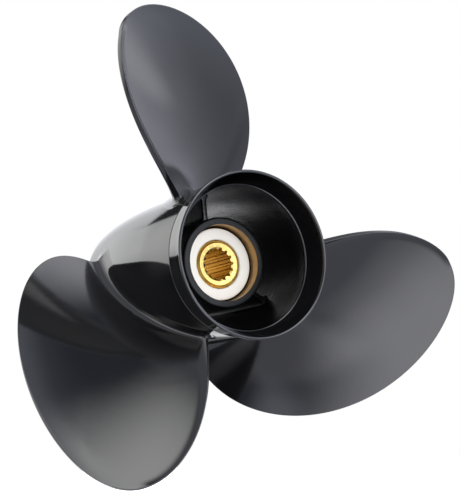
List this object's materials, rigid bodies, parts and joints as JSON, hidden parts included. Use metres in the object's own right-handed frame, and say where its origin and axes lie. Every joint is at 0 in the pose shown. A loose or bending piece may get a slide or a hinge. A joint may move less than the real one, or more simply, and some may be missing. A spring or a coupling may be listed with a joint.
{
  "type": "boat propeller",
  "caption": "Right-hand outboard propeller: skewed blades on a through-hub exhaust barrel with a flared diffuser ring, cushioned splined drive sleeve inside.",
  "frame": {"origin": "on the shaft axis, in the plane of the drive sleeve's forward face, which seats on the shaft's thrust washer", "axes": "+Y forward along the shaft, the way the thrust pushes; +Z through the middle of blade 1's root; +X to starboard, so the exhaust leaves towards -Y"},
  "size_m": [0.3461, 0.174, 0.347],
  "materials": {
    "black_paint": "gloss",
    "cushion_elastomer": "satin",
    "brass": "satin"
  },
  "bodies": {
    "drive_hub": {"splined_sleeve": "brass", "cushion_bush": "cushion_elastomer"},
    "propeller": {"outer_barrel": "black_paint", "diffuser_ring": "black_paint", "inner_hub": "black_paint", "rib_1": "black_paint", "rib_2": "black_paint", "rib_3": "black_paint", "blade_1": "black_paint", "blade_2": "black_paint", "blade_3": "black_paint"}
  },
  "joints": [
    {"name": "cushion_twist", "type": "hinge", "parent": "drive_hub", "child": "propeller", "pos_m": [0, 0, 0], "axis": [0, 1, 0], "range_deg": [-10, 10], "stiffness_Nm_per_rad": 2500}
  ]
}
